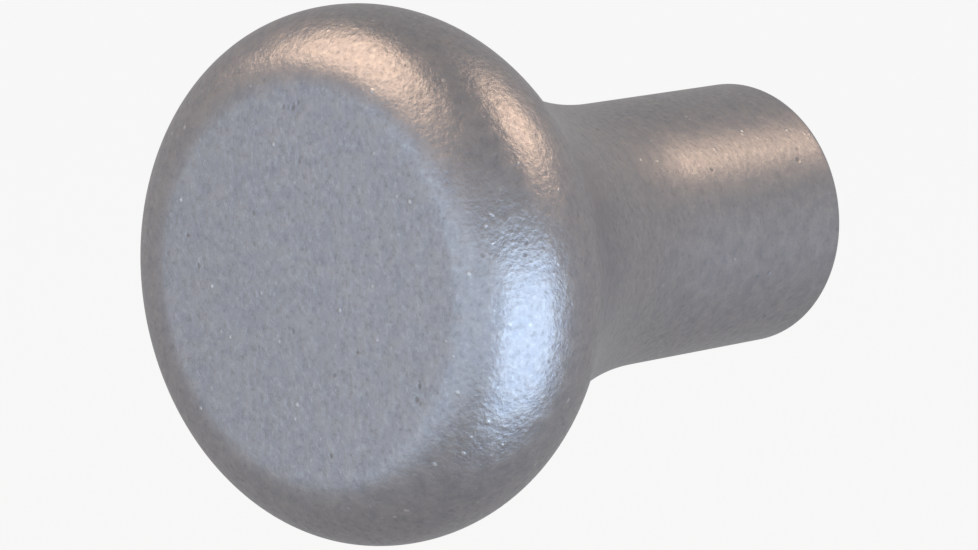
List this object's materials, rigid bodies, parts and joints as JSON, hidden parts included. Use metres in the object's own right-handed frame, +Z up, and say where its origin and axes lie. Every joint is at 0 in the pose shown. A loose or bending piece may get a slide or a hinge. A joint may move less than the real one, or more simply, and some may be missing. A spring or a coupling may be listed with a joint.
{
  "type": "cabinet knob",
  "caption": "Mushroom-head cabinet knob in matt silver-grey metal, with a flat face, a plain stem and a machine screw with washer that screws into the stem.",
  "frame": {"origin": "middle of the seat, the flat end of the stem that bears on the drawer front", "axes": "+Y along the knob's axis out of the seat, into the drawer front; the flat face of the head looks along -Y; +Z up"},
  "size_m": [0.032, 0.0405, 0.032],
  "materials": {
    "cast_metal": "matt, fine cast grain, silver grey",
    "zinc_plate": "bright zinc plated"
  },
  "bodies": {
    "knob": {"knob_body": "cast_metal"},
    "washer_stack": {"washer": "zinc_plate"},
    "screw": {"mounting_screw": "zinc_plate"}
  },
  "joints": [
    {"name": "screw_travel", "type": "slide", "parent": "knob", "child": "washer_stack", "axis": [0, 1, 0], "range_m": [0, 0.0203]},
    {"name": "screw_turn", "type": "hinge", "parent": "washer_stack", "child": "screw", "pos_m": [0, 0, 0], "axis": [0, 1, 0], "range_deg": [0, 10441]}
  ],
  "couplings": [
    {"joint": "screw_turn", "follows": "screw_travel", "rad_per_m": 8976}
  ]
}
